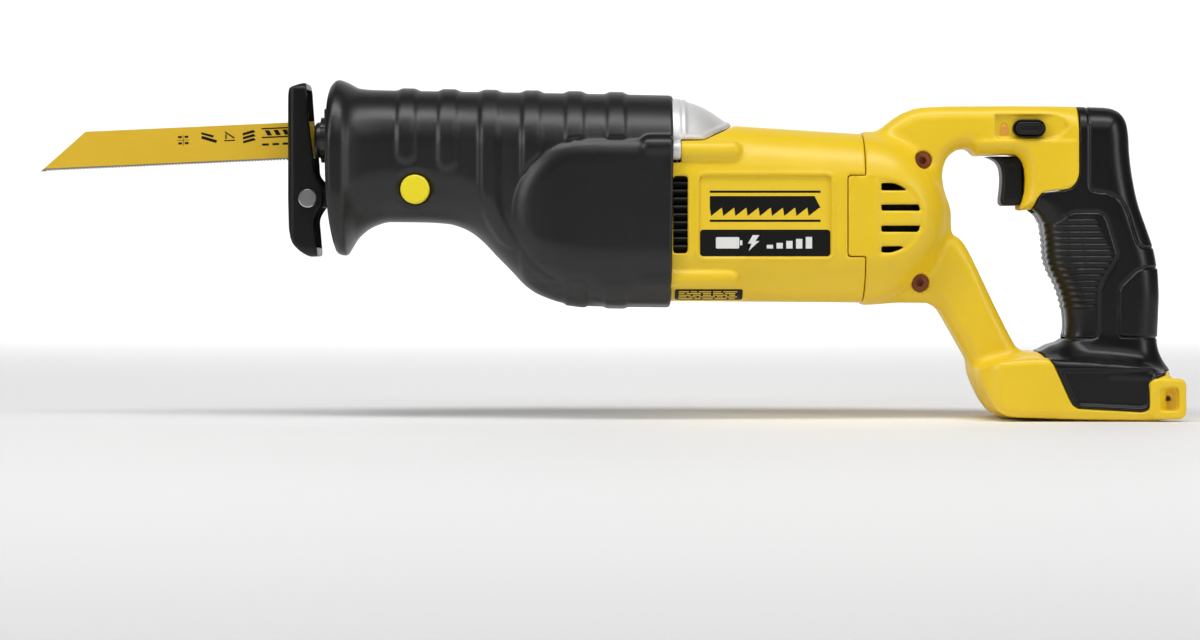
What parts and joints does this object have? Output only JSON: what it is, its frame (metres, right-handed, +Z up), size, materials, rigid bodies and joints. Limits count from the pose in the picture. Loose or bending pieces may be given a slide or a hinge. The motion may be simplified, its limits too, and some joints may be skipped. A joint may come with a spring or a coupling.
{
  "type": "reciprocating saw",
  "caption": "Cordless reciprocating saw with a tilting shoe, rubber front boot, side-vented motor housing and D-shaped rear handle with a battery foot.",
  "frame": {"origin": "centre of the whole saw's box, on the plane of the foot's underside", "axes": "+X from the blade's tip towards the battery foot, +Y to the saw's right seen from behind the blade, +Z up"},
  "size_m": [0.572, 0.082, 0.1695],
  "materials": {
    "blade_paint": "painted, satin",
    "dark_steel": "phosphated steel",
    "steel": "turned and ground",
    "sintered_bronze": "sintered",
    "seal_rubber": "moulded",
    "shoe_black": "gloss black coating",
    "cast_aluminium": "die cast, bead blasted",
    "boot_rubber": "moulded, fine texture",
    "button_yellow": "moulded",
    "housing_yellow": "moulded, fine texture",
    "label_black": "printed film",
    "black_nylon": "moulded",
    "ferrite": "pressed",
    "copper": "enamelled wire",
    "grip_rubber": "soft overmould",
    "screw_bronze": "bronze coating",
    "lead_red": "extruded",
    "lead_black": "extruded"
  },
  "bodies": {
    "housing": {"front_bush": "sintered_bronze", "rear_bush": "sintered_bronze", "spindle_seal": "seal_rubber", "crank_bearing": "steel", "gear_case": "cast_aluminium", "gear_case_cover": "cast_aluminium", "boot": "boot_rubber", "shoe_button_spring": "steel", "motor_housing": "housing_yellow", "label_left": "label_black", "label_right": "label_black", "vent_grille_left": "black_nylon", "vent_grille_right": "black_nylon", "case_screws": "steel", "front_bearing": "steel", "rear_bearing": "steel", "motor_can": "steel", "motor_magnets": "ferrite", "brushes": "ferrite", "brush_holder": "black_nylon", "rear_bearing_bracket": "cast_aluminium", "handle_shell_left": "housing_yellow", "handle_shell_right": "housing_yellow", "grip_left": "grip_rubber", "grip_right": "grip_rubber", "trigger_spring": "steel", "switch_body": "black_nylon", "terminal_block": "black_nylon", "terminal_blades": "steel", "handle_screws": "screw_bronze", "positive_lead": "lead_red", "negative_lead": "lead_black"},
    "spindle": {"spindle": "steel", "clamp_body": "dark_steel", "clamp_pin": "steel", "yoke": "steel"},
    "clamp_collar": {"clamp_collar": "dark_steel"},
    "blade": {"blade": "blade_paint"},
    "rotor": {"rotor_shaft": "steel", "pinion": "steel", "cooling_fan": "black_nylon", "armature_core": "steel", "windings": "copper", "commutator": "copper"},
    "crank": {"crank_gear": "steel", "crank_pin": "steel", "crank_shaft": "steel", "counterweight": "steel", "crank_roller": "steel"},
    "shoe_post": {"shoe_post": "dark_steel"},
    "shoe": {"shoe": "shoe_black", "shoe_pin": "steel"},
    "shoe_button": {"shoe_button": "button_yellow"},
    "trigger": {"trigger": "black_nylon"},
    "lock_button": {"lock_button": "black_nylon"}
  },
  "joints": [
    {"name": "spindle_stroke", "type": "slide", "parent": "housing", "child": "spindle", "axis": [1, 0, 0], "range_m": [0, 0.0286]},
    {"name": "clamp_turn", "type": "hinge", "parent": "spindle", "child": "clamp_collar", "pos_m": [-0.137, 0, 0.1395], "axis": [1, 0, 0], "range_deg": [0, 40], "stiffness_Nm_per_rad": 0.05, "springref_deg": -11.46},
    {"name": "blade_release", "type": "slide", "parent": "spindle", "child": "blade", "axis": [-1, 0, 0], "range_m": [0, 0.03]},
    {"name": "rotor_spin", "type": "hinge", "parent": "housing", "child": "rotor", "pos_m": [0.06, 0, 0.1015], "axis": [1, 0, 0], "continuous": true},
    {"name": "crank_spin", "type": "hinge", "parent": "housing", "child": "crank", "pos_m": [-0.0105, -0.015, 0.1015], "axis": [0, 1, 0], "continuous": true},
    {"name": "shoe_slide", "type": "slide", "parent": "housing", "child": "shoe_post", "axis": [-1, 0, 0], "range_m": [0, 0.03]},
    {"name": "shoe_tilt", "type": "hinge", "parent": "shoe_post", "child": "shoe", "pos_m": [-0.15, 0, 0.11], "axis": [0, 1, 0], "range_deg": [-12, 8]},
    {"name": "shoe_button_press", "type": "slide", "parent": "housing", "child": "shoe_button", "axis": [0, 1, 0], "range_m": [0, 0.003], "stiffness_N_per_m": 800, "springref_m": -0.003, "deforming": ["shoe_button_spring"]},
    {"name": "trigger_pull", "type": "slide", "parent": "housing", "child": "trigger", "axis": [1, 0, 0], "range_m": [0, 0.006], "stiffness_N_per_m": 1000, "springref_m": -0.004, "deforming": ["trigger_spring"]},
    {"name": "lock_slide", "type": "slide", "parent": "housing", "child": "lock_button", "axis": [0, 1, 0], "range_m": [0, 0.003]}
  ],
  "couplings": [
    {"joint": "crank_spin", "follows": "rotor_spin", "ratio": 0.25}
  ]
}
